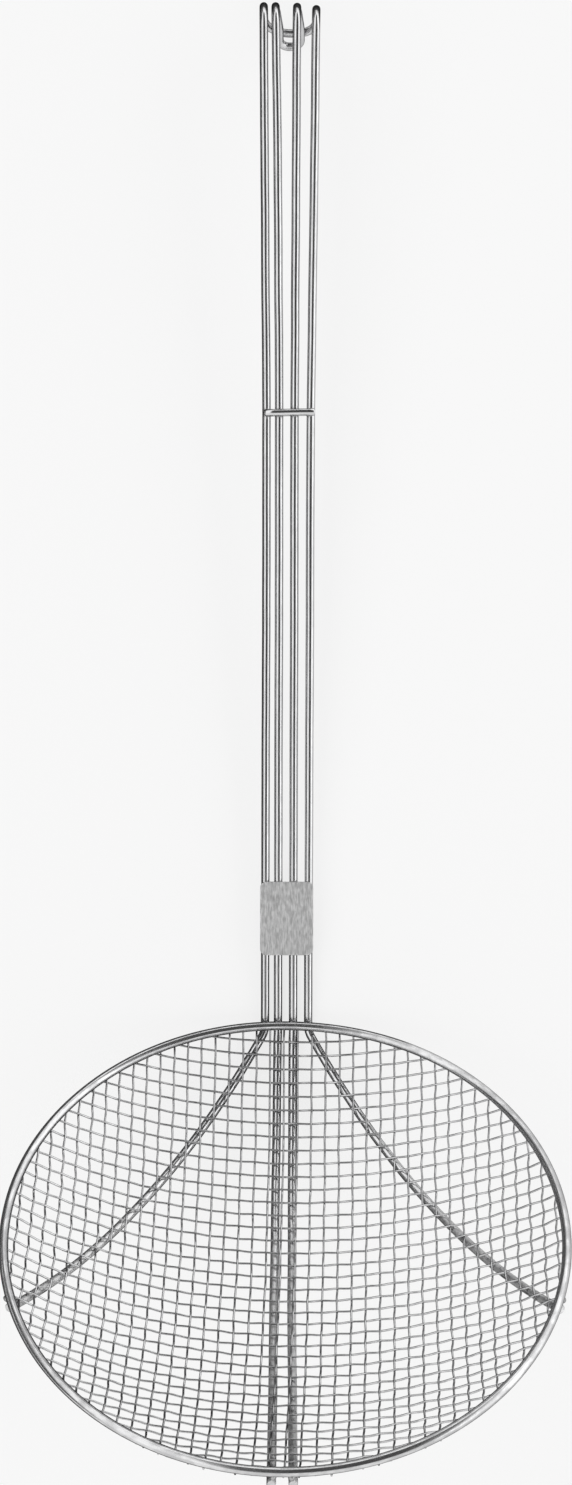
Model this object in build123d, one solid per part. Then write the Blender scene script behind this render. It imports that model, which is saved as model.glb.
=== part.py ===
from build123d import *
import os
from math import acos, asin, atan, atan2, ceil, cos, degrees, floor, radians, sin, sqrt

# A long handled wire skimmer, in millimetres and degrees.
# It is drawn with the bowl level and its middle over the origin: X across, Y to the handle, Z up.
# At the end it is laid on its back, on the bend of the four rods and on the end of the hook.

# Bowl
rim_radius = 100.0        # to the middle of the rim rod
rim_rod = 3.4
dish_radius = 168.0       # the round of the bowl, to the middle of the mesh
mesh_wire = 0.75
warp_pitch = 5.29         # both pitches are measured along the dish
weft_pitch = 5.28
weft_fan_height = 660.0   # the planes of the weft wires meet this far above the bottom of the bowl
side_margin = 2.2         # a warp wire this near to the middle of the rim rod is left out
back_margin = 3.6         # from the middle of the rim rod to the first weft wire, at the handle
front_margin = 7.0        # a weft wire this near to the rim at the front is left out
mesh_gap = 0.06           # between the two layers of wires
wire_run = 17.0           # longest straight facet of a dished wire

# Frame rods
frame_rod = 3.2
weld_gap = 0.05           # between a rod and what it is welded to
side_angle = 34.0         # how far the outer rods spread, seen from above
rod_overhang = 1.0        # a rod's end lies this far outside the middle of the rim
elbow_reach = 1.3         # the bend of the outer rods lies this far outside the middle of the rim
elbow_leg = 2.4           # from that bend's corner to where it is straight again
inner_elbow_radius = 30.0

# Handle
handle_angle = 52.9       # between the handle and the plane of the rim
handle_reach = 389.5      # from the elbow to the far side of the hook's bend, to the middle of the rod
outer_half_spacing = 8.3
inner_half_spacing = 2.9
outer_half_spread = 9.7   # at the hook
inner_half_spread = 3.8
spread_radius = 400.0     # of the slight bend at the cross bar, where the rods start to spread

# Hook
hook_radius = 10.0
inner_hook_turn = 125.2   # the outer hairpin turns less, so that it closes behind the inner one
outer_tip_length = 16.3   # from the end of the hook's bend to the closed end of the hairpin
inner_tip_length = 17.3
outer_tip_radius = 9.2
inner_tip_radius = 3.6

# Cross bar
bar_rod = 2.9
bar_length = 18.6
bar_offset = 0.4          # to the right of the middle
bar_station = 236.5       # from the elbow
bar_edge = 0.3

# Badge plate
plate_width = 20.3
plate_length = 28.3
plate_thickness = 1.0
plate_corner = 2.3
plate_edge = 0.2
plate_station = 44.0

# Places worked out from those sizes
rod_radius = frame_rod / 2
facet_sag = dish_radius - sqrt(dish_radius**2 - (wire_run / 2) ** 2)
layer_step = mesh_wire + mesh_gap + facet_sag
warp_radius = dish_radius - layer_step / 2
weft_radius = dish_radius + layer_step / 2
mesh_half = (layer_step + mesh_wire) / 2
seat_radius = dish_radius - mesh_half - weld_gap - rim_rod / 2
support_radius = dish_radius + mesh_half + weld_gap + rod_radius
dish_height = sqrt(seat_radius**2 - rim_radius**2)
dish_centre = Vector(0, 0, dish_height)
rise = radians(handle_angle)
side = radians(side_angle)
along = Vector(0, cos(rise), sin(rise))
front = Vector(0, -sin(rise), cos(rise))

# Seen from above, an outer rod runs on a straight line under the bowl. Its corner with the handle
# is found on that line, at the height where the rod leaves the round of the bowl.
corner_y = rim_radius + elbow_reach
line_distance = outer_half_spacing * cos(side) + corner_y * sin(side)
corner_run = corner_y * cos(side) - outer_half_spacing * sin(side)
outer_round = sqrt(support_radius**2 - line_distance**2)
corner_round = sqrt(outer_round**2 + elbow_leg**2)
corner_z = dish_height - sqrt(corner_round**2 - corner_run**2)
elbow = Vector(0, corner_y, corner_z)
handle_distance = corner_y * sin(rise) + (dish_height - corner_z) * cos(rise)
inner_round = sqrt(support_radius**2 - inner_half_spacing**2)

# The closed end of the outer hairpin crosses behind the inner one and is welded to it there. Both
# bend about the same middle, and the inner one goes on turning until its straight legs clear that end.
crossing_x = inner_half_spread - outer_half_spread + outer_tip_radius
crossing_rise = outer_tip_radius - sqrt(outer_tip_radius**2 - crossing_x**2)
crossing_run = outer_tip_length - crossing_rise
crossing_reach = sqrt(hook_radius**2 + crossing_run**2)
crossing_turn = atan(crossing_run / hook_radius) - acos((hook_radius + frame_rod + weld_gap) / crossing_reach)
inner_turn = radians(inner_hook_turn)
outer_turn = inner_turn - crossing_turn


def on_handle(x, station, height=0.0):
    return elbow + Vector(x, 0, 0) + along * station + front * height


def under_outer(angle):
    run = outer_round * sin(angle)
    x = line_distance * cos(side) - run * sin(side)
    y = line_distance * sin(side) + run * cos(side)
    return Vector(x, y, dish_height - outer_round * cos(angle))


def under_inner(angle):
    return Vector(inner_half_spacing, inner_round * sin(angle), dish_height - inner_round * cos(angle))


def end_angle(distance, round_radius):
    end_run = sqrt((rim_radius + rod_overhang) ** 2 - distance**2)
    return -asin(end_run / round_radius)


def support_arc(point_at, first, last):
    return ThreePointArc(point_at(first), point_at((first + last) / 2), point_at(last))


def outer_arm():
    first = asin(corner_run / corner_round) - atan(elbow_leg / outer_round)
    last = end_angle(line_distance, outer_round)
    foot = on_handle(outer_half_spacing, elbow_leg)
    bend = TangentArc(foot, under_outer(first), tangent=-along)
    return foot, [bend, support_arc(under_outer, first, last)]


def inner_arm():
    turn_share = (handle_distance - inner_elbow_radius) / (inner_round - inner_elbow_radius)
    first = rise - acos(turn_share)
    last = end_angle(inner_half_spacing, inner_round)
    top = under_inner(first)
    axis = Vector(inner_half_spacing, 0, dish_height)
    centre = top + (axis - top).normalized() * inner_elbow_radius
    foot = centre - front * inner_elbow_radius
    bend = TangentArc(foot, top, tangent=-along)
    return foot, [bend, support_arc(under_inner, first, last)]


# Where the sharp corner of the hook would be, and how far the rod goes back from there and down
def hook_corner(turn, tip_length):
    hook_leg = hook_radius * sin(turn / 2) / cos(turn / 2)
    back = hook_leg + tip_length
    return handle_reach - hook_radius + hook_leg, back * cos(turn), back * sin(turn)


def handle_leg(foot, half_spacing, half_spread, hook, tip_radius):
    corner_station, tip_run, tip_drop = hook
    points = [
        on_handle(0, corner_station + tip_run, -tip_drop),
        on_handle(half_spread, corner_station + tip_run, -tip_drop),
        on_handle(half_spread, corner_station),
        on_handle(half_spacing, bar_station),
        foot,
    ]
    return FilletPolyline(points, radius=[tip_radius, hook_radius, spread_radius])


def hairpin(arm, half_spacing, half_spread, hook, tip_radius):
    foot, arm_edges = arm
    leg = handle_leg(foot, half_spacing, half_spread, hook, tip_radius)
    path = Wire(leg.edges() + arm_edges)
    section = Plane(leg @ 0, z_dir=Vector(1, 0, 0)) * Circle(rod_radius)
    half = sweep(section, path=path)
    return half + mirror(half, about=Plane.YZ)


def outer_hairpin_rod():
    hook = hook_corner(outer_turn, outer_tip_length)
    return hairpin(outer_arm(), outer_half_spacing, outer_half_spread, hook, outer_tip_radius)


def inner_hairpin_rod():
    hook = hook_corner(inner_turn, inner_tip_length)
    return hairpin(inner_arm(), inner_half_spacing, inner_half_spread, hook, inner_tip_radius)


def rim_ring():
    return Torus(rim_radius, rim_rod / 2)


# A dished wire is square in section and follows a circle on the round of the bowl, in straight facets.
# The plane's origin is the middle of that circle, and its Y axis points away from the wire.
def dished_wire(plane, layer_radius, half_angle):
    circle_radius = sqrt(layer_radius**2 - (plane.origin - dish_centre).length ** 2)
    facets = ceil(2 * half_angle * circle_radius / wire_run)
    points = []
    for step in range(facets + 1):
        angle = half_angle * (2 * step / facets - 1)
        points.append(plane.from_local_coords((circle_radius * sin(angle), -circle_radius * cos(angle))))
    path = Polyline(*points)
    section = Plane(points[0], x_dir=points[0] - dish_centre, z_dir=path % 0)
    return sweep(section * Rectangle(mesh_wire, mesh_wire), path=path, transition=Transition.RIGHT)


def warp_wires():
    last_run = dish_radius * asin((rim_radius - side_margin) / dish_radius)
    steps = floor(last_run / warp_pitch + 1 / 2)
    wires = []
    for step in range(steps):
        x = dish_radius * sin((step + 1 / 2) * warp_pitch / dish_radius)
        half_angle = asin(sqrt(rim_radius**2 - x**2) / sqrt(warp_radius**2 - x**2))
        for side_x in (-x, x):
            plane = Plane((side_x, 0, dish_height), x_dir=(0, 1, 0), z_dir=(1, 0, 0))
            wires.append(dished_wire(plane, warp_radius, half_angle))
    return wires


# The planes of the weft wires all pass through one line across, high above the bowl
def weft_wires():
    fan_line = Vector(0, 0, dish_height - dish_radius + weft_fan_height)
    edge_height = dish_height - sqrt(weft_radius**2 - rim_radius**2)
    back_run = dish_radius * asin((rim_radius - back_margin) / dish_radius)
    front_run = dish_radius * asin((rim_radius - front_margin) / dish_radius)
    wires = []
    for step in range(floor((back_run + front_run) / weft_pitch) + 1):
        turned = (back_run - step * weft_pitch) / dish_radius
        bottom = dish_centre + Vector(0, sin(turned), -cos(turned)) * dish_radius
        down = (bottom - fan_line).normalized()
        circle_centre = fan_line + down * (dish_centre - fan_line).dot(down)
        circle_radius = sqrt(weft_radius**2 - (circle_centre - dish_centre).length ** 2)
        half_angle = acos((edge_height - circle_centre.Z) / down.Z / circle_radius)
        plane = Plane(circle_centre, x_dir=(1, 0, 0), z_dir=Vector(1, 0, 0).cross(-down))
        wires.append(dished_wire(plane, weft_radius, half_angle))
    return wires


def cross_bar():
    place = on_handle(bar_offset, bar_station, rod_radius + weld_gap + bar_rod / 2)
    bar = Plane(place, x_dir=-front, z_dir=Vector(1, 0, 0)) * Cylinder(bar_rod / 2, bar_length)
    return chamfer(bar.edges().filter_by(GeomType.CIRCLE), bar_edge)


def badge_plate():
    place = Plane(on_handle(0, plate_station, rod_radius + weld_gap), x_dir=(1, 0, 0), z_dir=front)
    plate = extrude(RectangleRounded(plate_width, plate_length, plate_corner), plate_thickness)
    plate = fillet(plate.faces().sort_by(Axis.Z)[-1].edges(), plate_edge)
    return place * plate


# Lying down, the handle rises a little from the elbow to the hook, whose end is as low as the elbow
def lying_angle():
    corner_station, tip_run, tip_drop = hook_corner(inner_turn, inner_tip_length)
    foot, arm_edges = inner_arm()
    run = corner_station + tip_run - (foot - elbow).dot(along)
    drop = tip_drop + inner_elbow_radius
    return degrees(atan2(drop, run) - asin(inner_elbow_radius / sqrt(run**2 + drop**2)))


nodes = {
    "rim_ring": [rim_ring()],
    "warp_wires": warp_wires(),
    "weft_wires": weft_wires(),
    "outer_hairpin_rod": [outer_hairpin_rod()],
    "inner_hairpin_rod": [inner_hairpin_rod()],
    "cross_bar": [cross_bar()],
    "badge_plate": [badge_plate()],
}

# The finished piece lies on the floor, with the middle of its outline over the origin
lying = Rot(X=lying_angle() - handle_angle)
frame = [lying * nodes[name][0] for name in ("rim_ring", "outer_hairpin_rod", "inner_hairpin_rod")]
box = Compound(children=frame).bounding_box()
on_floor = Pos(-box.center().X, -box.center().Y, -box.min.Z) * lying

os.makedirs("parts", exist_ok=True)
for name, solids in nodes.items():
    placed = [on_floor * solid for group in solids for solid in group.solids()]
    export_step(Compound(children=placed), f"parts/{name}.step")
    print(name, len(placed), "solids", round(sum(solid.volume for solid in placed)), "mm3")
print("handle rises", round(lying_angle(), 2), "degrees; size", box.size)
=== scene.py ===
import math
import bpy
from mathutils import Matrix, Vector


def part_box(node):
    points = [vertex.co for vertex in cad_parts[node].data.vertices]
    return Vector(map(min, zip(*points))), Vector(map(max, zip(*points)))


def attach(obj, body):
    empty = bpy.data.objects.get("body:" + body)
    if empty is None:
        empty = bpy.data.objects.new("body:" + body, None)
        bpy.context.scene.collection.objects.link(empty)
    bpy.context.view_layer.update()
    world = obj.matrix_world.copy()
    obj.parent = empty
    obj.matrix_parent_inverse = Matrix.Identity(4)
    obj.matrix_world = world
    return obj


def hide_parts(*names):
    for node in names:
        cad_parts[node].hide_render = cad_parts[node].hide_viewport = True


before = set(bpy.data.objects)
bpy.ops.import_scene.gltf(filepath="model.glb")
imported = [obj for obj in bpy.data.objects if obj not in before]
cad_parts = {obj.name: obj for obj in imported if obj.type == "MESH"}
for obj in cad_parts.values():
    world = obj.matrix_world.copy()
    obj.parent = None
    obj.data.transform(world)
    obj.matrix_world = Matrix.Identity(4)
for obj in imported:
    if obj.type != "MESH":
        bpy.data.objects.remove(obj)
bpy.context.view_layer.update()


# Helpers for node trees

def feed(tree, node, inputs):  # each input takes a number, a formula or another node's output
    for slot, value in inputs.items():
        if isinstance(value, Term):
            value = value.socket
        if isinstance(value, bpy.types.NodeSocket):
            tree.links.new(value, node.inputs[slot])
        else:
            node.inputs[slot].default_value = value


def newNode(tree, kind, inputs=None, **values):
    node = tree.nodes.new(kind)
    for name, value in values.items():
        setattr(node, name, value)
    feed(tree, node, inputs or {})
    return node


def newMaterial(name):
    material = bpy.data.materials.new(name)
    material.use_nodes = True
    tree = material.node_tree
    return material, tree, tree.nodes["Principled BSDF"]


def mathNode(tree, operation, *values):
    node = newNode(tree, "ShaderNodeMath", dict(enumerate(values)), operation=operation)
    return Term(tree, node.outputs[0])


class Term:  # a number in a node tree, so that a formula reads as one
    def __init__(self, tree, socket):
        self.tree = tree
        self.socket = socket

    def calc(self, operation, *others):
        return mathNode(self.tree, operation, self, *others)

    def __add__(self, other):
        return self.calc("ADD", other)

    def __sub__(self, other):
        return self.calc("SUBTRACT", other)

    def __rsub__(self, other):
        return mathNode(self.tree, "SUBTRACT", other, self)

    def __mul__(self, other):
        return self.calc("MULTIPLY", other)

    def __truediv__(self, other):
        return self.calc("DIVIDE", other)

    def __rtruediv__(self, other):
        return mathNode(self.tree, "DIVIDE", other, self)

    def rise(self, low, high):  # 0 below low, 1 above high
        ramp = newNode(self.tree, "ShaderNodeMapRange", {"Value": self, "From Min": low, "From Max": high},
                       interpolation_type="SMOOTHSTEP")
        return Term(self.tree, ramp.outputs["Result"])

    def toward(self, other, share):
        return self + (other - self) * share


def vectorMath(tree, operation, vector, other):
    otherSlot = "Scale" if operation == "SCALE" else 1
    node = newNode(tree, "ShaderNodeVectorMath", {0: vector, otherSlot: other}, operation=operation)
    return node.outputs[0]


def vectorOf(tree, x=0.0, y=0.0, z=0.0):
    return newNode(tree, "ShaderNodeCombineXYZ", {"X": x, "Y": y, "Z": z}).outputs[0]


def partsOf(tree, vector):
    apart = newNode(tree, "ShaderNodeSeparateXYZ", {0: vector})
    return [Term(tree, apart.outputs[axis]) for axis in "XYZ"]


def noiseOver(tree, place, scale, detail, output="Fac"):
    noise = newNode(tree, "ShaderNodeTexNoise", {"Vector": place, "Scale": scale, "Detail": detail})
    return noise.outputs[output]


def bumpFrom(tree, height, strength, depth):
    bump = newNode(tree, "ShaderNodeBump", {"Height": height, "Strength": strength, "Distance": depth})
    return bump.outputs["Normal"]


def grey(level):
    return level, level, level, 1.0


# Drawn wire: fine lines along it and soft blotches. Every wire carries wireCoord, in millimetres:
# X and Y across the wire and Z along it, as if it were pulled straight. The rods also carry a mask
# that is 1 where the steel under the bowl is made rougher and painted lighter, which is painted light,
# and weldMark, which is 1 at a weld and all over a bead.

drawnWire = {
    "lineDetail": 2.0, "blotchDetail": 4.0, "blotchStretch": 2.0,   # blotches are longer along the wire
    "wornRise": (0.35, 0.65), "paintedLightRise": (0.3, 0.55),
    "weldGain": 1.3, "weldEdge": 0.6, "weldRise": (0.25, 0.75),
    "bumpDepth": 0.0001,     # metres
}


def makeDrawnWireGroup():
    tree = bpy.data.node_groups.new("drawnWireGroup", "ShaderNodeTree")
    for name in ("Line Fineness", "Line Length", "Blotch Size"):
        tree.interface.new_socket(name, in_out="INPUT", socket_type="NodeSocketFloat")
    for name in ("Lines", "Blotches", "Rough Painted Light", "Weld"):
        tree.interface.new_socket(name, in_out="OUTPUT", socket_type="NodeSocketFloat")
    entry = newNode(tree, "NodeGroupInput")
    fineness, lineLength, blotchSize = [Term(tree, entry.outputs[slot]) for slot in range(3)]
    coord = newNode(tree, "ShaderNodeAttribute", attribute_name="wireCoord")
    x, y, z = partsOf(tree, coord.outputs["Vector"])

    def noiseAt(parts, detail):
        return Term(tree, noiseOver(tree, vectorOf(tree, *parts), 1.0, detail))

    def markOf(name):
        return Term(tree, newNode(tree, "ShaderNodeAttribute", attribute_name=name).outputs["Fac"])

    lines = noiseAt((x * fineness, y * fineness, z / lineLength), drawnWire["lineDetail"])
    blotchLength = blotchSize * drawnWire["blotchStretch"]
    blotches = noiseAt((x / blotchSize, y / blotchSize, z / blotchLength), drawnWire["blotchDetail"])
    # painted light: under the bowl the steel is coloured paler, as well as made rougher
    roughPaintedLight = markOf("roughAndPaintedLight") * blotches.rise(*drawnWire["paintedLightRise"])
    burnt = markOf("weldMark") * drawnWire["weldGain"] + blotches - drawnWire["weldEdge"]
    newNode(tree, "NodeGroupOutput", {
        "Lines": lines, "Blotches": blotches, "Rough Painted Light": roughPaintedLight, "Weld": burnt.rise(*drawnWire["weldRise"])})
    return tree


drawnWireGroup = makeDrawnWireGroup()


def wireSteel(name, finish):
    material, tree, shader = newMaterial(name)
    drawn = newNode(tree, "ShaderNodeGroup", {
        "Line Fineness": finish["lineFineness"], "Line Length": finish["lineLength"],
        "Blotch Size": finish["blotchSize"],
    }, node_tree=drawnWireGroup)
    lines, blotches, roughPaintedLight, weld = [Term(tree, socket) for socket in drawn.outputs]
    worn = blotches.rise(*drawnWire["wornRise"])

    # the paler colour under the bowl is painted light; the burnt colour at welds is the steel's own heat
    # tint
    def overSteel(shade, bright, paintedLightUnderBowl, burnt):
        return (worn * (bright - shade) + shade).toward(paintedLightUnderBowl, roughPaintedLight).toward(burnt, weld)

    levels = zip(finish["shade"], finish["bright"], finish["paintedLightUnderBowl"], finish["burnt"])
    channels = [overSteel(*level) for level in levels]
    colour = newNode(tree, "ShaderNodeCombineColor", dict(enumerate(channels)))
    rough = overSteel(finish["roughest"], finish["smoothest"],
                      finish["roughUnderBowl"], finish["burntRough"])
    height = lines + (roughPaintedLight + weld) * blotches * finish["pitting"]
    feed(tree, shader, {
        "Metallic": 1.0, "Specular Tint": grey(finish["edgeTint"]),
        "Base Color": colour.outputs[0], "Roughness": rough,
        "Normal": bumpFrom(tree, height, finish["bump"], drawnWire["bumpDepth"]),
    })
    return material


rodFinish = {
    "shade": (0.57, 0.57, 0.575), "bright": (0.64, 0.64, 0.645), "edgeTint": 0.15,
    # painted light: the paler colour that the rods take under the bowl
    "paintedLightUnderBowl": (0.74, 0.74, 0.74), "burnt": (0.42, 0.42, 0.42),
    "roughest": 0.2, "smoothest": 0.12, "roughUnderBowl": 0.55, "burntRough": 0.4,
    "bump": 0.25, "pitting": 3.0,
    "lineFineness": 5.0, "lineLength": 80.0, "blotchSize": 2.2,
}
rimFinish = {
    "shade": (0.5, 0.5, 0.505), "bright": (0.66, 0.66, 0.665), "edgeTint": 0.15,
    "paintedLightUnderBowl": (0.4, 0.4, 0.4), "burnt": (0.42, 0.42, 0.42),
    "roughest": 0.26, "smoothest": 0.17, "roughUnderBowl": 0.45, "burntRough": 0.4,
    "bump": 0.15, "pitting": 3.0,
    "lineFineness": 4.0, "lineLength": 80.0, "blotchSize": 2.5,
}
meshFinish = {
    "shade": (0.46, 0.46, 0.465), "bright": (0.62, 0.62, 0.625), "edgeTint": 0.15,
    "paintedLightUnderBowl": (0.36, 0.36, 0.36), "burnt": (0.3, 0.3, 0.3),
    "roughest": 0.18, "smoothest": 0.1, "roughUnderBowl": 0.4, "burntRough": 0.4,
    "bump": 0.1, "pitting": 1.0,
    "lineFineness": 9.0, "lineLength": 30.0, "blotchSize": 2.0,
}
rodSteel = wireSteel("rodSteel", rodFinish)
rimSteel = wireSteel("rimSteel", rimFinish)
meshSteel = wireSteel("meshSteel", meshFinish)
print("wire materials made")


# The bowl's own frame, in millimetres: its origin is the middle of the rim, Z runs up its axis and
# Y to the handle. Wires and rods are drawn in it and then laid where the CAD has them.

millimetre = 0.001
bowl = {
    "rimRod": 3.4, "dishRadius": 168.0,
    "seatRadius": 165.36,        # from the middle of the dish to the middle of the rim rod
    "supportRadius": 170.54,     # and to the middle of the rods under the bowl
}

ringLow, ringHigh = [Vector(corner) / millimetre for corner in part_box("rim_ring")]
ringSize = ringHigh - ringLow
rimRadius = (ringSize.x - bowl["rimRod"]) / 2
bowlTilt = math.acos((ringSize.y - bowl["rimRod"]) / 2 / rimRadius)
bowlPlace = (Matrix.Scale(millimetre, 4) @ Matrix.Translation((ringLow + ringHigh) / 2)
             @ Matrix.Rotation(-bowlTilt, 4, "X"))
dishHeight = math.sqrt(bowl["seatRadius"] ** 2 - rimRadius**2)
dishMiddle = Vector((0, 0, dishHeight))
print("bowl tilted", round(math.degrees(bowlTilt), 2), "degrees, rim", round(rimRadius, 2))


def setInputs(modifier, values):
    for item in modifier.node_group.interface.items_tree:
        if item.item_type == "SOCKET" and item.in_out == "INPUT" and item.name in values:
            modifier[item.identifier] = values[item.name]


# Runs a tree on a mesh, and keeps what it makes as a plain piece of the skimmer
def grow(name, base, tree, values, nodes):
    holder = bpy.data.objects.new(name + "Holder", base)
    bpy.context.collection.objects.link(holder)
    modifier = holder.modifiers.new(tree.name, "NODES")
    modifier.node_group = tree
    setInputs(modifier, values)
    graph = bpy.context.evaluated_depsgraph_get()
    mesh = bpy.data.meshes.new_from_object(holder.evaluated_get(graph))
    bpy.data.objects.remove(holder)
    mesh.transform(bowlPlace)
    mesh.name = name
    piece = bpy.data.objects.new(name, mesh)
    bpy.context.collection.objects.link(piece)
    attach(piece, "root")
    if nodes:
        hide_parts(*nodes)
    print(name, len(mesh.polygons), "faces")


# A tree and its named inputs, the steel among them
def openTree(name, sizes):
    tree = bpy.data.node_groups.new(name, "GeometryNodeTree")
    tree.interface.new_socket("Geometry", in_out="INPUT", socket_type="NodeSocketGeometry")
    tree.interface.new_socket("Geometry", in_out="OUTPUT", socket_type="NodeSocketGeometry")
    for size, kind in {**sizes, "Steel": "Material"}.items():
        tree.interface.new_socket(size, in_out="INPUT", socket_type="NodeSocket" + kind)
    entry = newNode(tree, "NodeGroupInput")
    return tree, {given: Term(tree, entry.outputs[given]) for given in ("Geometry", *sizes, "Steel")}


def closeTree(tree, given, geometry):
    whole = newNode(tree, "GeometryNodeRealizeInstances", {"Geometry": geometry})
    finish = newNode(tree, "GeometryNodeSetMaterial", {
        "Geometry": whole.outputs[0], "Material": given["Steel"]})
    newNode(tree, "NodeGroupOutput", {"Geometry": finish.outputs[0]})
    return tree


def stored(tree, geometry, name, value, kind="FLOAT"):
    store = newNode(tree, "GeometryNodeStoreNamedAttribute", {
        "Geometry": geometry, "Name": name, "Value": value,
    }, data_type=kind, domain="POINT")
    return store.outputs["Geometry"]


def readBack(tree, name, kind="FLOAT"):
    attribute = newNode(tree, "GeometryNodeInputNamedAttribute", {"Name": name}, data_type=kind)
    return attribute.outputs["Attribute"]


def positionIn(tree):
    return newNode(tree, "GeometryNodeInputPosition").outputs[0]


noiseMiddle = 0.5
driftNoise = {"detail": 1.0, "stretch": 4}    # such noise seldom leaves its middle by more than a quarter


# A slow, smooth drift, mostly within amount
def driftAt(tree, place, size, amount):
    noise = noiseOver(tree, place, 1 / size, driftNoise["detail"], "Color")
    centred = vectorMath(tree, "SUBTRACT", noise, [noiseMiddle] * 3)
    return vectorMath(tree, "SCALE", centred, amount * driftNoise["stretch"])


# Round wire along curves, with wireCoord stored on it and its end caps left flat
def addTube(tree, curve, radius, sides, scale=1.0):
    run = newNode(tree, "GeometryNodeSplineParameter").outputs["Length"]
    circle = newNode(tree, "GeometryNodeCurvePrimitiveCircle", {"Resolution": sides, "Radius": radius})
    tubes = newNode(tree, "GeometryNodeCurveToMesh", {
        "Curve": stored(tree, curve, "wireRun", run),
        "Profile Curve": stored(tree, circle.outputs[0], "wireCoord", positionIn(tree), "FLOAT_VECTOR"),
        "Scale": scale, "Fill Caps": True,
    })
    along = vectorOf(tree, z=readBack(tree, "wireRun"))
    coord = vectorMath(tree, "ADD", readBack(tree, "wireCoord", "FLOAT_VECTOR"), along)
    wires = stored(tree, tubes.outputs["Mesh"], "wireCoord", coord, "FLOAT_VECTOR")
    corners = Term(tree, newNode(tree, "GeometryNodeInputMeshFaceNeighbors").outputs["Vertex Count"])
    isSide = corners.calc("LESS_THAN", 4.5)    # a side has four corners, and a cap has more
    smooth = newNode(tree, "GeometryNodeSetShadeSmooth", {"Geometry": wires, "Selection": isSide})
    return smooth.outputs["Geometry"]


# The woven mesh. A warp wire keeps its distance across the dish, and a weft wire lies in a plane of
# a wide fan. Both wave in and out about the dish as they pass under and over each other.

weave = {
    "wire": 0.75,
    "warps": 40, "warpPitch": 5.288, "warpShift": 0.38, "warpBow": 0.89, "warpTurn": -1.377,
    "wefts": 39, "weftPitch": 5.285, "weftStart": 102.59, "weftSkew": 1.12, "weftTurn": -1.009,
    "fanHeight": 664.0,      # the planes of the wefts meet this far above the bottom of the dish
    "frontInset": 0.7, "backInset": -1.3,    # the wires end this far short of the middle of the rim rod
    "warpCrimp": 0.5, "weftCrimp": 0.2,      # how far a wire waves from the dish
    "wander": 0.22, "wanderSize": 17.0, "wanderShares": (1.0, 1.0, 0.3),    # less up and down
    "shortest": 1.0,         # half the length that an end weft keeps, however close to the rim it runs
    "samples": 190, "sides": 8,
}


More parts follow.
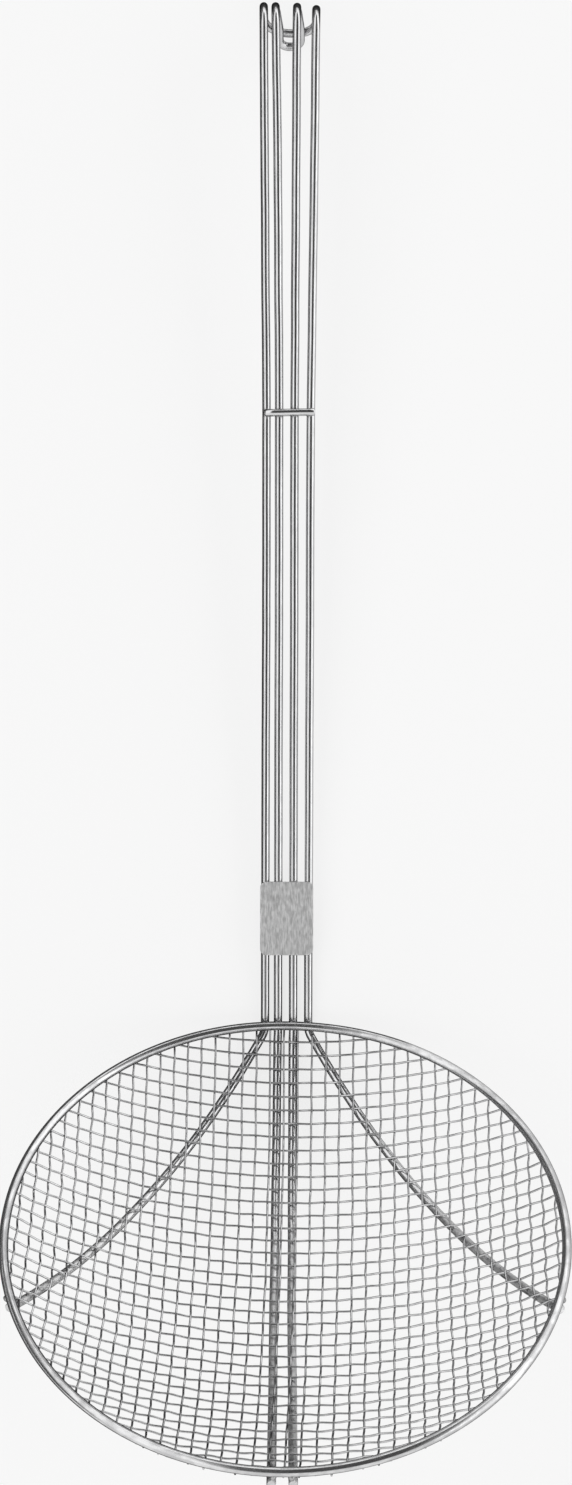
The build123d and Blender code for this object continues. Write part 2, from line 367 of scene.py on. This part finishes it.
def makeWeaveTree():
    counts = dict.fromkeys(("Wires", "Samples", "Sides"), "Int")
    sizes = dict.fromkeys((
        "Wire Radius", "Warp Middle", "Warp Pitch", "Warp Shift", "Warp Bow", "Weft Pitch", "Weft Start",
        "Weft Skew", "Turn", "Dish Radius", "Dish Height", "Rim Radius", "Front Inset", "Back Inset",
        "Shortest", "Fan Drop", "Crimp", "Wander", "Wander Size"), "Float")
    tree, given = openTree("weaveTree", {"Is Weft": "Bool", **counts, **sizes})
    samples, dish, rim = given["Samples"], given["Dish Radius"], given["Rim Radius"]
    height, drop = given["Dish Height"], given["Fan Drop"]

    # one long line of points, cut after the last point of each wire
    line = newNode(tree, "GeometryNodeMeshLine", {"Count": given["Wires"] * samples})
    index = Term(tree, newNode(tree, "GeometryNodeInputIndex").outputs[0])
    isLast = (index + 1).calc("MODULO", samples).calc("LESS_THAN", 0.5)
    cut = newNode(tree, "GeometryNodeDeleteGeometry", {
        "Geometry": line.outputs["Mesh"], "Selection": isLast}, domain="EDGE")
    roundingGuard = 0.0001
    wire = (index / samples + roundingGuard).calc("FLOOR")
    step = (index - wire * samples) / (samples - 1) * 2 - 1    # from -1 to 1 along a wire

    def reachAt(backShare):
        return rim - given["Front Inset"].toward(given["Back Inset"], backShare)

    def halfChord(radius, distance):
        return (radius * radius - distance * distance).calc("MAXIMUM", 0.0).calc("SQRT")

    def pick(warpValue, weftValue):
        switch = newNode(tree, "GeometryNodeSwitch", {
            "Switch": given["Is Weft"], "False": warpValue, "True": weftValue}, input_type="FLOAT")
        return Term(tree, switch.outputs[0])

    edge = height - halfChord(dish, rim)
    fanTop = height + drop

    # a warp keeps its distance across the dish, but for a slight bow
    warpRun = (wire - given["Warp Middle"]) * given["Warp Pitch"] + given["Warp Shift"]
    reach = reachAt((step + 1) * 0.5)
    warpY = halfChord(reach, (warpRun / dish).calc("SINE") * dish) * step / rim
    warpX = ((warpRun - given["Warp Bow"] * warpY * warpY) / dish).calc("SINE") * dish
    warpFan = halfChord(reach, warpX).calc("ARCTAN2", fanTop - edge) * step

    # a weft keeps to its plane of the fan, but for a slight skew
    weftRun = given["Weft Start"] - wire * given["Weft Pitch"]
    weftLine = (weftRun / dish).calc("SINE") * dish
    reach = reachAt((weftLine / rim + 1) * 0.5)
    weftSide = halfChord(reach, weftLine) * step / rim
    slope = (weftRun - given["Weft Skew"] * weftSide * weftSide * weftSide) / dish
    weftFan = (slope.calc("SINE") * dish).calc("ARCTAN2", drop + slope.calc("COSINE") * dish)
    weftEdge = weftFan.calc("TANGENT") * (fanTop - edge)
    weftX = halfChord(reach, weftEdge).calc("MAXIMUM", given["Shortest"]) * step

    # the place on the dish that is x across, in the plane at this angle of the fan
    x = pick(warpX, weftX)
    fan = pick(warpFan, weftFan)
    sine, cosine = fan.calc("SINE"), fan.calc("COSINE")
    fanReach = drop * cosine + (dish * dish - x * x - drop * drop * sine * sine).calc("SQRT")
    onDish = (x, fanReach * sine, drop - fanReach * cosine)    # from the middle of the dish

    # a wire waves once for every two wires that it crosses
    weftRunHere = given["Weft Start"] - (fan + (sine * drop / dish).calc("ARCSINE")) * dish
    weftsCrossed = weftRunHere / given["Weft Pitch"]
    warpRunHere = (x / dish).calc("ARCSINE") * dish - given["Warp Shift"]
    warpsCrossed = warpRunHere / given["Warp Pitch"] + given["Warp Middle"]
    phase = (pick(weftsCrossed, warpsCrossed) + wire) * math.pi
    outward = phase.calc("COSINE") * given["Crimp"] * pick(1.0, -1.0) / dish + 1

    waved = vectorOf(tree, *[part * outward for part in onDish])
    turned = newNode(tree, "ShaderNodeVectorRotate", {"Vector": waved, "Angle": given["Turn"]},
                     rotation_type="Z_AXIS")
    inBowl = vectorMath(tree, "ADD", turned.outputs[0], vectorOf(tree, z=height))

    # the drift is alike for warps and wefts, so that they stay woven
    drift = driftAt(tree, inBowl, given["Wander Size"], given["Wander"])
    place = vectorMath(tree, "ADD", inBowl, vectorMath(tree, "MULTIPLY", drift, weave["wanderShares"]))
    shape = newNode(tree, "GeometryNodeSetPosition", {"Geometry": cut.outputs[0], "Position": place})
    curves = newNode(tree, "GeometryNodeMeshToCurve", {"Mesh": shape.outputs["Geometry"]})
    tubes = addTube(tree, curves.outputs["Curve"], given["Wire Radius"], given["Sides"])
    return closeTree(tree, given, tubes)


weaveTree = makeWeaveTree()


def makeWires(name, node, isWeft):
    own = "weft" if isWeft else "warp"
    grow(name, bpy.data.meshes.new(name + "Base"), weaveTree, {
        "Is Weft": isWeft, "Wires": weave[own + "s"], "Samples": weave["samples"], "Sides": weave["sides"],
        "Wire Radius": weave["wire"] / 2, "Warp Middle": (weave["warps"] - 1) / 2,
        "Warp Pitch": weave["warpPitch"], "Warp Shift": weave["warpShift"], "Warp Bow": weave["warpBow"],
        "Weft Pitch": weave["weftPitch"], "Weft Start": weave["weftStart"], "Weft Skew": weave["weftSkew"],
        "Turn": math.radians(weave[own + "Turn"]), "Dish Radius": bowl["dishRadius"],
        "Dish Height": dishHeight, "Rim Radius": rimRadius,
        "Front Inset": weave["frontInset"], "Back Inset": weave["backInset"], "Shortest": weave["shortest"],
        "Fan Drop": weave["fanHeight"] - bowl["dishRadius"], "Crimp": weave[own + "Crimp"],
        "Wander": weave["wander"], "Wander Size": weave["wanderSize"], "Steel": meshSteel,
    }, [node])


makeWires("warpWires", "warp_wires", False)
makeWires("weftWires", "weft_wires", True)
print("mesh woven")


# Lines of the rods. A rod is one line of points, which the rod tree makes round.

pathStep = 3.0               # millimetres, the longest step on a line
turnStep = math.radians(5)   # the widest step round a bend
bendSteps = 3                # and the fewest steps that it has


def arcAbout(centre, start, end):
    first, last = start - centre, end - centre
    turn = first.angle(last)
    steps = max(bendSteps, math.ceil(turn * first.length / pathStep), math.ceil(turn / turnStep))
    axis = first.cross(last).normalized()
    return [centre + Matrix.Rotation(turn * step / steps, 3, axis) @ first for step in range(steps + 1)]


def bendAt(before, corner, after, radius=None, leg=None):
    back, on = (before - corner).normalized(), (after - corner).normalized()
    halfTurn = (math.pi - back.angle(on)) / 2
    if leg is None:
        leg = radius * math.tan(halfTurn)
    middle = corner + (back + on).normalized() * leg / math.sin(halfTurn)
    return arcAbout(middle, corner + back * leg, corner + on * leg)


def divide(points):
    finer = [points[0]]
    for start, end in zip(points, points[1:]):
        steps = max(1, math.ceil((end - start).length / pathStep))
        finer += [start.lerp(end, step / steps) for step in range(1, steps + 1)]
    return finer


def between(values, share):  # along a few values that are spread evenly from 0 to 1
    place = min(max(share, 0.0), 1.0) * (len(values) - 1)
    first = min(int(place), len(values) - 2)
    return values[first] + (values[first + 1] - values[first]) * (place - first)


frameRods = {
    "rod": 3.2, "sides": 16, "chamfer": 0.35, "endShare": 0.82, "wobble": 0.06, "wobbleSize": 30.0,
    "sideAngle": 34.0, "overhang": 1.0,      # the side supports' spread, and what shows past the rim
    "elbowReach": 1.3, "elbowLeg": 2.4,      # where the outer rods turn under the bowl, and how tightly
    "innerElbow": 30.0,      # the radius at which the inner rods do
    "handleAngle": 52.9, "reach": 389.5, "barStation": 236.5, "spreadRadius": 400.0, "hookRadius": 10.0,
    "hookWay": 120.0,        # past the bar, the way over which a leg takes on its own length
    "tipStart": 1.2,         # hook radii below the crown, where a tip starts to lean
    "paintedLightInset": 4.0, "paintedLightWay": 140.0, "paintedLightShares": (0.0, 0.15, 1.0, 1.0),
}
outerRod = {
    "halfSpacing": 8.3, "halfSpread": 9.7, "hookTurn": 112.3, "tipLength": 16.3, "tipRadius": 9.2,
    "leanOnHandle": (0.0, 0.3, 0.8), "leanUnderBowl": (0.0, 0.0, 0.0), "spreadUnderBowl": 0.0,
    "tipLean": 0.0, "tipForward": 1.0, "leftLean": (0.0, 0.0, 0.0, -0.3, -0.5),
    "shortRight": 1.06,      # the right leg's bend at the hook is this much lower
}
innerRod = {
    "halfSpacing": 2.9, "halfSpread": 3.8, "hookTurn": 125.2, "tipLength": 17.3, "tipRadius": 3.6,
    "leanOnHandle": (-0.4, -0.3, -0.55), "leanUnderBowl": (-0.5, -0.95, -0.5), "spreadUnderBowl": 0.75,
    "tipLean": 1.3, "tipForward": 0.6, "leftLean": (0.0, 0.0, 0.0, 0.0, 0.0, 0.0, 0.0, -0.1, -0.6),
    "shortRight": 0.2,
}

handleRise = math.radians(frameRods["handleAngle"])
sideTurn = math.radians(frameRods["sideAngle"])
alongHandle = Vector((0, math.cos(handleRise), math.sin(handleRise)))
frontOfHandle = Vector((0, -math.sin(handleRise), math.cos(handleRise)))

# A side support lies in an upright plane that passes the middle of the bowl at lineDistance. The corner
# of its elbow is cornerRun along that plane.
cornerY = rimRadius + frameRods["elbowReach"]
lineDistance = outerRod["halfSpacing"] * math.cos(sideTurn) + cornerY * math.sin(sideTurn)
cornerRun = cornerY * math.cos(sideTurn) - outerRod["halfSpacing"] * math.sin(sideTurn)
outerRound = math.sqrt(bowl["supportRadius"] ** 2 - lineDistance**2)
innerRound = math.sqrt(bowl["supportRadius"] ** 2 - innerRod["halfSpacing"] ** 2)
cornerRound = math.hypot(outerRound, frameRods["elbowLeg"])
elbow = Vector((0, cornerY, dishHeight - math.sqrt(cornerRound**2 - cornerRun**2)))


def onHandle(x, station, height=0.0):
    return elbow + Vector((x, 0, 0)) + alongHandle * station + frontOfHandle * height


def underBowl(distance, turn, first):  # round the bowl from the angle first to just past its front
    roundRadius = math.sqrt(bowl["supportRadius"] ** 2 - distance**2)
    endRun = math.sqrt((rimRadius + frameRods["overhang"]) ** 2 - distance**2)
    last = -math.asin(endRun / roundRadius)
    steps = math.ceil((first - last) * roundRadius / pathStep)
    points = []
    for step in range(steps + 1):
        angle = first + (last - first) * step / steps
        y, z = roundRadius * math.sin(angle), dishHeight - roundRadius * math.cos(angle)
        points.append(Matrix.Rotation(turn, 3, "Z") @ Vector((distance, y, z)))
    return points


def outerArm():
    first = math.asin(cornerRun / cornerRound) - math.atan(frameRods["elbowLeg"] / outerRound)
    arc = underBowl(lineDistance, sideTurn, first)
    x = outerRod["halfSpacing"]
    atBar = onHandle(x, frameRods["barStation"])
    return bendAt(atBar, onHandle(x, 0), arc[0], leg=frameRods["elbowLeg"]) + arc[1:]


def innerArm():
    radius = frameRods["innerElbow"]
    handleDistance = cornerY * math.sin(handleRise) + (dishHeight - elbow.z) * math.cos(handleRise)
    first = handleRise - math.acos((handleDistance - radius) / (innerRound - radius))
    arc = underBowl(innerRod["halfSpacing"], 0.0, first)
    axis = Vector((innerRod["halfSpacing"], 0, dishHeight))
    middle = arc[0] + (axis - arc[0]).normalized() * radius
    return arcAbout(middle, middle - frontOfHandle * radius, arc[0]) + arc[1:]


def hookCorner(rod):  # where the crown's two sides would meet, and how far on and down the tip is
    turn = math.radians(rod["hookTurn"])
    leg = frameRods["hookRadius"] * math.tan(turn / 2)
    back = leg + rod["tipLength"]
    return frameRods["reach"] - frameRods["hookRadius"] + leg, back * math.cos(turn), back * math.sin(turn)


def settle(point, rod):  # the small ways in which a real rod is off its line
    station = (point - elbow).dot(alongHandle)
    if point.y > rimRadius:
        x = point.x + between(rod["leanOnHandle"], station / frameRods["reach"])
        if point.x < 0:
            x += between(rod["leftLean"], station / frameRods["reach"])
    else:
        share = (rimRadius - point.y) / (2 * rimRadius)
        x = point.x + between(rod["leanUnderBowl"], share)
        x += math.copysign(rod["spreadUnderBowl"] * share, point.x)
    pastBar = between((0.0, 1.0), (station - frameRods["barStation"]) / frameRods["hookWay"])
    short = rod["shortRight"] * pastBar * (point.x / rod["halfSpread"] + 1) / 2
    belowCrown = (elbow - point).dot(frontOfHandle) / frameRods["hookRadius"]
    intoHook = between((0.0, 1.0), belowCrown - frameRods["tipStart"]) * pastBar
    x += rod["tipLean"] * intoHook
    return Vector((x, point.y, point.z)) + alongHandle * (rod["tipForward"] * intoHook - short)


def hairpinLine(rod, arm):
    station, tipRun, tipDrop = hookCorner(rod)
    tip = onHandle(0, station + tipRun, -tipDrop)
    tipCorner = onHandle(rod["halfSpread"], station + tipRun, -tipDrop)
    crown = onHandle(rod["halfSpread"], station)
    atBar = onHandle(rod["halfSpacing"], frameRods["barStation"])
    half = [tip] + bendAt(tip, tipCorner, crown, rod["tipRadius"])
    half += bendAt(tipCorner, crown, atBar, frameRods["hookRadius"])
    half += bendAt(crown, atBar, arm[0], frameRods["spreadRadius"]) + arm
    half = divide(half)
    half.append(half[-1].copy())     # the point before the end moves up to where the chamfer starts
    half[-2] = half[-1].lerp(half[-3], frameRods["chamfer"] / (half[-1] - half[-3]).length)
    other = [Vector((-point.x, point.y, point.z)) for point in half]
    return [settle(point, rod) for point in other[:0:-1] + half]


def lineMesh(name, points, roughAndPaintedLight):
    mesh = bpy.data.meshes.new(name + "Line")
    mesh.from_pydata(points, [(step, step + 1) for step in range(len(points) - 1)], [])
    marks = mesh.attributes.new("roughAndPaintedLight", "FLOAT", "POINT")
    for point, mark in zip(points, marks.data):
        mark.value = roughAndPaintedLight(point)
    return mesh


# Where the rods are welded to the rim, to the bar and to each other

rim = {
    "steps": 200,
    "dent": 0.75, "dentMiddle": 10.0, "dentWidth": 38.0,    # pressed in a little at the handle
}
crossBar = {
    "rod": 2.9, "length": 18.6, "middle": 0.9, "lean": 1.3, "height": 3.1, "chamfer": 0.3,
    "chamferShare": 0.966,   # its chamfers start at this share of half its length
}
welds = {
    "reach": 2.8,            # the steel is burnt this far round a weld
    # where the welds are, across the tool
    "innerUnderRim": (-3.4, 2.6), "outerUnderRim": (-8.0, 8.0), "onBar": (-8.0, -3.2, 2.6, 8.5),
    "rimButt": 3.4, "rimButtRadius": 1.78, "tipButt": -0.5, "tipButtRadius": 1.62,
}


def onRim(x, isBack=True):
    y = math.sqrt(rimRadius**2 - x**2)
    dent = rim["dent"] * math.exp(-((x - rim["dentMiddle"]) / rim["dentWidth"]) ** 2)
    return Vector((x, y - dent if isBack else -y, 0))


def underRim(x, isBack):
    seat = onRim(x, isBack) - dishMiddle
    return dishMiddle + seat * (1 + bowl["rimRod"] / 2 / bowl["seatRadius"])


supportRun = math.sqrt(rimRadius**2 - lineDistance**2)
outerEndX = lineDistance * math.cos(sideTurn) + supportRun * math.sin(sideTurn)
contacts = [underRim(x, isBack) for x in welds["innerUnderRim"] for isBack in (True, False)]
contacts += [underRim(x, True) for x in welds["outerUnderRim"]]
contacts += [underRim(x, False) for x in (-outerEndX, outerEndX)]
contacts += [onHandle(x, frameRods["barStation"], frameRods["rod"] / 2) for x in welds["onBar"]]
rimButt = onRim(welds["rimButt"])
tipStation, tipRun, tipDrop = hookCorner(innerRod)
tipButt = settle(onHandle(welds["tipButt"], tipStation + tipRun, -tipDrop), innerRod)


def pointMesh(name, points):
    mesh = bpy.data.meshes.new(name)
    mesh.from_pydata(points, [], [])
    return mesh


weldPoints = bpy.data.objects.new("weldPoints", pointMesh("weldPoints", contacts + [rimButt, tipButt]))
bpy.context.collection.objects.link(weldPoints)
print(len(weldPoints.data.vertices), "welds placed")


def makeRodTree():
    tree, given = openTree("rodTree", {
        "Rod Radius": "Float", "Sides": "Int", "Chamfer": "Float", "End Share": "Float",
        "Wobble": "Float", "Wobble Size": "Float", "Welds": "Object", "Weld Reach": "Float",
    })
    curve = newNode(tree, "GeometryNodeMeshToCurve", {"Mesh": given["Geometry"]})
    wobble = driftAt(tree, positionIn(tree), given["Wobble Size"], given["Wobble"])
    shape = newNode(tree, "GeometryNodeSetPosition", {"Geometry": curve.outputs["Curve"], "Offset": wobble})
    run = Term(tree, newNode(tree, "GeometryNodeSplineParameter").outputs["Length"])
    length = Term(tree, newNode(tree, "GeometryNodeSplineLength").outputs["Length"])
    fromEnd = run.calc("MINIMUM", length - run) / given["Chamfer"]
    scale = given["End Share"].toward(1.0, fromEnd.calc("MINIMUM", 1.0))
    tubes = addTube(tree, shape.outputs["Geometry"], given["Rod Radius"], given["Sides"], scale)
    points = newNode(tree, "GeometryNodeObjectInfo", {"Object": given["Welds"]})
    near = newNode(tree, "GeometryNodeProximity", {0: points.outputs["Geometry"]}, target_element="POINTS")
    mark = 1.0 - Term(tree, near.outputs["Distance"]) / given["Weld Reach"]
    return closeTree(tree, given, stored(tree, tubes, "weldMark", mark.calc("MAXIMUM", 0.0)))


rodTree = makeRodTree()


def plainEverywhere(point):
    return 0.0


def roughPaintedLightUnderBowl(point):  # rougher steel under the bowl, with painted light: a paler colour there
    way = rimRadius - frameRods["paintedLightInset"] - point.y
    return between(frameRods["paintedLightShares"], way / frameRods["paintedLightWay"])


def makeRod(name, points, node, rod, steel=rodSteel, roughAndPaintedLight=plainEverywhere, wobble=0.0,
            chamfer=frameRods["chamfer"], endShare=frameRods["endShare"]):
    grow(name, lineMesh(name, points, roughAndPaintedLight), rodTree, {
        "Rod Radius": rod / 2, "Sides": frameRods["sides"], "Chamfer": chamfer, "End Share": endShare,
        "Wobble": wobble, "Wobble Size": frameRods["wobbleSize"],
        "Welds": weldPoints, "Weld Reach": welds["reach"], "Steel": steel,
    }, [node])


# under the bowl the rods are rougher and painted lighter, a painted light
makeRod("outerHairpin", hairpinLine(outerRod, outerArm()), "outer_hairpin_rod", frameRods["rod"],
        roughAndPaintedLight=roughPaintedLightUnderBowl, wobble=frameRods["wobble"])
makeRod("innerHairpin", hairpinLine(innerRod, innerArm()), "inner_hairpin_rod", frameRods["rod"],
        roughAndPaintedLight=roughPaintedLightUnderBowl, wobble=frameRods["wobble"])

rimStart = math.acos(welds["rimButt"] / rimRadius)
rimAngles = [rimStart + 2 * math.pi * step / rim["steps"] for step in range(rim["steps"] + 1)]
rimLine = [onRim(rimRadius * math.cos(angle), math.sin(angle) > 0) for angle in rimAngles]
makeRod("rimRing", rimLine, "rim_ring", bowl["rimRod"], rimSteel, endShare=1.0)

barLean = math.radians(crossBar["lean"])
barMiddle = onHandle(crossBar["middle"], frameRods["barStation"], crossBar["height"])
barHalf = (Vector((math.cos(barLean), 0, 0)) + alongHandle * math.sin(barLean)) * crossBar["length"] / 2
barShares = (-1, -crossBar["chamferShare"], crossBar["chamferShare"], 1)
barEnds = [barMiddle + barHalf * share for share in barShares]
makeRod("crossBar", [barEnds[0]] + divide(barEnds[1:3]) + [barEnds[3]], "cross_bar", crossBar["rod"],
        chamfer=crossBar["chamfer"])
print("rods made")


# Beads of weld: small uneven lumps in the notch between two rods, and round the two butt joints

beads = {
    "radius": 1.25, "smallest": 0.85, "largest": 1.15, "subdivisions": 3,
    "uneven": 0.35, "unevenSize": 1.3, "unevenDetail": 2.0, "seed": 3,
}


def makeBeadTree():
    tree, given = openTree("beadTree", {
        "Bead Radius": "Float", "Subdivisions": "Int", "Smallest": "Float", "Largest": "Float",
        "Uneven": "Float", "Uneven Size": "Float", "Seed": "Int"})
    ball = newNode(tree, "GeometryNodeMeshIcoSphere", {
        "Radius": given["Bead Radius"], "Subdivisions": given["Subdivisions"]})
    scale = newNode(tree, "FunctionNodeRandomValue", {
        0: given["Smallest"], 1: given["Largest"], "Seed": given["Seed"]}, data_type="FLOAT_VECTOR")
    lumps = newNode(tree, "GeometryNodeInstanceOnPoints", {
        "Points": given["Geometry"], "Instance": ball.outputs["Mesh"], "Scale": scale.outputs[0]})
    whole = newNode(tree, "GeometryNodeRealizeInstances", {"Geometry": lumps.outputs["Instances"]})
    noise = Term(tree, noiseOver(tree, positionIn(tree), 1 / given["Uneven Size"], beads["unevenDetail"]))
    push = (noise - noiseMiddle) * given["Uneven"] * 2
    normal = newNode(tree, "GeometryNodeInputNormal").outputs[0]
    shape = newNode(tree, "GeometryNodeSetPosition", {
        "Geometry": whole.outputs["Geometry"], "Offset": vectorMath(tree, "SCALE", normal, push)})
    coord = stored(tree, shape.outputs["Geometry"], "wireCoord", positionIn(tree), "FLOAT_VECTOR")
    burnt = stored(tree, coord, "weldMark", 1.0)
    smooth = newNode(tree, "GeometryNodeSetShadeSmooth", {"Geometry": burnt})
    return closeTree(tree, given, smooth.outputs["Geometry"])


beadTree = makeBeadTree()


def makeBeads(name, points, radius):
    grow(name, pointMesh(name + "Points", points), beadTree, {
        "Bead Radius": radius, "Subdivisions": beads["subdivisions"],
        "Smallest": beads["smallest"], "Largest": beads["largest"],
        "Uneven": beads["uneven"], "Uneven Size": beads["unevenSize"],
        "Seed": beads["seed"], "Steel": rodSteel,
    }, [])


makeBeads("weldBeads", contacts, beads["radius"])
makeBeads("rimButtBead", [rimButt], welds["rimButtRadius"])
makeBeads("tipButtBead", [tipButt], welds["tipButtRadius"])
bpy.data.objects.remove(weldPoints)
print("weld beads made")


# The badge plate keeps its CAD shape. It is bare sheet steel, brushed along the handle.

plateFinish = {
    "dark": 0.5, "pale": 0.8, "toneRise": (0.35, 0.65), "edgeTint": 0.4,
    "smoothest": 0.43, "roughest": 0.58, "roughRise": (0.3, 0.7),
    "streakWidth": 0.00035, "streakLength": 0.006, "pitWidth": 0.0012, "pitLength": 0.0024,    # metres
    "streakDetail": 3.0, "pitDetail": 5.0, "streakShare": 0.6,
    "bump": 0.5, "bumpDepth": 0.00005,
}


def plateSteelMaterial():
    material, tree, shader = newMaterial("plateSteel")
    coord = newNode(tree, "ShaderNodeTexCoord").outputs["Object"]

    def grainOf(width, length, detail):
        mapping = newNode(tree, "ShaderNodeMapping", {
            "Vector": coord, "Scale": (1 / width, 1 / length, 1 / width)})
        return Term(tree, noiseOver(tree, mapping.outputs[0], 1.0, detail))

    streaks = grainOf(plateFinish["streakWidth"], plateFinish["streakLength"], plateFinish["streakDetail"])
    pits = grainOf(plateFinish["pitWidth"], plateFinish["pitLength"], plateFinish["pitDetail"])
    tone = pits.toward(streaks, plateFinish["streakShare"]).rise(*plateFinish["toneRise"])
    colour = newNode(tree, "ShaderNodeMix", {
        "Factor": tone, "A": grey(plateFinish["dark"]), "B": grey(plateFinish["pale"])}, data_type="RGBA")
    roughSpread = plateFinish["roughest"] - plateFinish["smoothest"]
    feed(tree, shader, {
        "Metallic": 1.0, "Specular Tint": grey(plateFinish["edgeTint"]),
        "Base Color": colour.outputs["Result"],
        "Roughness": pits.rise(*plateFinish["roughRise"]) * roughSpread + plateFinish["smoothest"],
        "Normal": bumpFrom(tree, streaks + pits, plateFinish["bump"], plateFinish["bumpDepth"]),
    })
    return material


plateSteel = plateSteelMaterial()
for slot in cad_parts["badge_plate"].material_slots:
    slot.material = plateSteel
print("plate finished")


# Studio: a pale floor, and a dome whose long soft lights and dark gaps run along the handle

studio = {
    "floorHalf": 6.0, "floorColour": 0.86, "floorRough": 0.9, "floorShine": 0.1,
    "floorSeen": 0.2, "floorGlow": 0.77, "backdrop": 0.94,      # floor and sky as the camera sees them
    "leftBright": 1.35, "rightBright": 1.7, "dark": 0.08, "soft": 1.1, "farBright": 1.4,
    "leftLight": (-62, -17), "rightLight": 44, "blur": 4,       # degrees from straight up, to the right
    "frontLight": (-22, -12), "farLight": (66, 76),     # degrees towards the hook
    "farLeft": 0.2, "farTurn": (-0.3, -0.1),    # beyond the hook it is darker to the left
}


def flatSheet(name, material, low, high, level=0.0):
    mesh = bpy.data.meshes.new(name)
    mesh.from_pydata([(low[0], low[1], level), (high[0], low[1], level), (high[0], high[1], level),
                      (low[0], high[1], level)], [], [(0, 1, 2, 3)])
    mesh.materials.append(material)
    sheet = bpy.data.objects.new(name, mesh)
    bpy.context.collection.objects.link(sheet)
    return sheet


# The floor glows where the camera and the steel see it, so that it looks evenly pale
def paleFloorMaterial():
    material, tree, shader = newMaterial("paleFloor")
    path = newNode(tree, "ShaderNodeLightPath").outputs
    seen = Term(tree, path["Is Camera Ray"]).calc("MAXIMUM", path["Is Glossy Ray"])
    feed(tree, shader, {
        "Base Color": seen * (studio["floorSeen"] - studio["floorColour"]) + studio["floorColour"],
        "Roughness": studio["floorRough"], "Specular IOR Level": studio["floorShine"],
        "Emission Color": grey(1.0), "Emission Strength": seen * studio["floorGlow"],
    })
    return material


half = studio["floorHalf"]
flatSheet("floor", paleFloorMaterial(), (-half, -half), (half, half))

# Painted dark reflections: grey sheets just over the floor which only the steel mirrors, darkening the
# rods' edges: grey level, near left and far right corner
flagLevel = 0.0003
darkReflectionSheets = {
    "flagLeft": (0.06, (-0.7, -0.08), (-0.012, 0.27)),
    "flagUnder": (0.15, (-0.7, -0.5), (0.05, -0.08)),
    "flagBeyond": (0.2, (-1.2, 0.42), (-0.06, 1.6)),
    "flagFar": (0.06, (-0.7, 0.27), (0.3, 0.42)),
}
for name, (level, low, high) in darkReflectionSheets.items():
    # a sheet that neither the camera nor the light sees, only the steel: a painted dark reflection
    darkReflectionMaterial, clothTree, clothShader = newMaterial(name + "Cloth")
    feed(clothTree, clothShader, {"Base Color": grey(level), "Roughness": 1.0})
    darkReflectionSheet = flatSheet(name, darkReflectionMaterial, low, high, flagLevel)
    darkReflectionSheet.visible_camera = False
    darkReflectionSheet.visible_diffuse = False
    darkReflectionSheet.visible_shadow = False
    darkReflectionSheet.visible_transmission = False


def lightDome(tree):
    skyX, skyY, skyZ = partsOf(tree, newNode(tree, "ShaderNodeTexCoord").outputs["Generated"])
    across = skyX.calc("ARCTAN2", skyZ).calc("DEGREES")
    towards = skyY.calc("ARCSINE").calc("DEGREES")

    def past(angle):
        return across.rise(angle - studio["blur"], angle + studio["blur"])

    leftFrom, leftTo = studio["leftLight"]
    striped = (past(leftFrom) - past(leftTo)) * (studio["leftBright"] - studio["dark"]) + studio["dark"]
    striped = striped + past(studio["rightLight"]) * (studio["rightBright"] - studio["dark"])
    far = skyX.rise(*studio["farTurn"]) * (studio["farBright"] - studio["farLeft"]) + studio["farLeft"]
    fromFront = towards.rise(*studio["frontLight"])
    level = (striped - studio["soft"]) * fromFront + studio["soft"]
    level = level.toward(far, towards.rise(*studio["farLight"]))
    path = newNode(tree, "ShaderNodeLightPath")
    return level.toward(studio["backdrop"], Term(tree, path.outputs["Is Camera Ray"]))


world = bpy.data.worlds.new("studioWorld")
bpy.context.scene.world = world
world.use_nodes = True
skyTree = world.node_tree
feed(skyTree, skyTree.nodes["Background"], {"Color": grey(1.0), "Strength": lightDome(skyTree)})
print("studio lit")

view = {
    "lens": 67.13, "sensor": 36.0,
    "place": (0.00415, -0.02393, 1.06737),      # metres, over the middle of the tool
    "turn": (0.4228, 0.2464, 0.1324),           # degrees from straight down
}
cameraData = bpy.data.cameras.new("camera")
cameraData.lens = view["lens"]
cameraData.sensor_width = view["sensor"]
camera = bpy.data.objects.new("camera", cameraData)
bpy.context.collection.objects.link(camera)
camera.location = view["place"]
camera.rotation_euler = [math.radians(angle) for angle in view["turn"]]
bpy.context.scene.camera = camera
bpy.context.scene.view_settings.view_transform = "Standard"
print("camera placed")
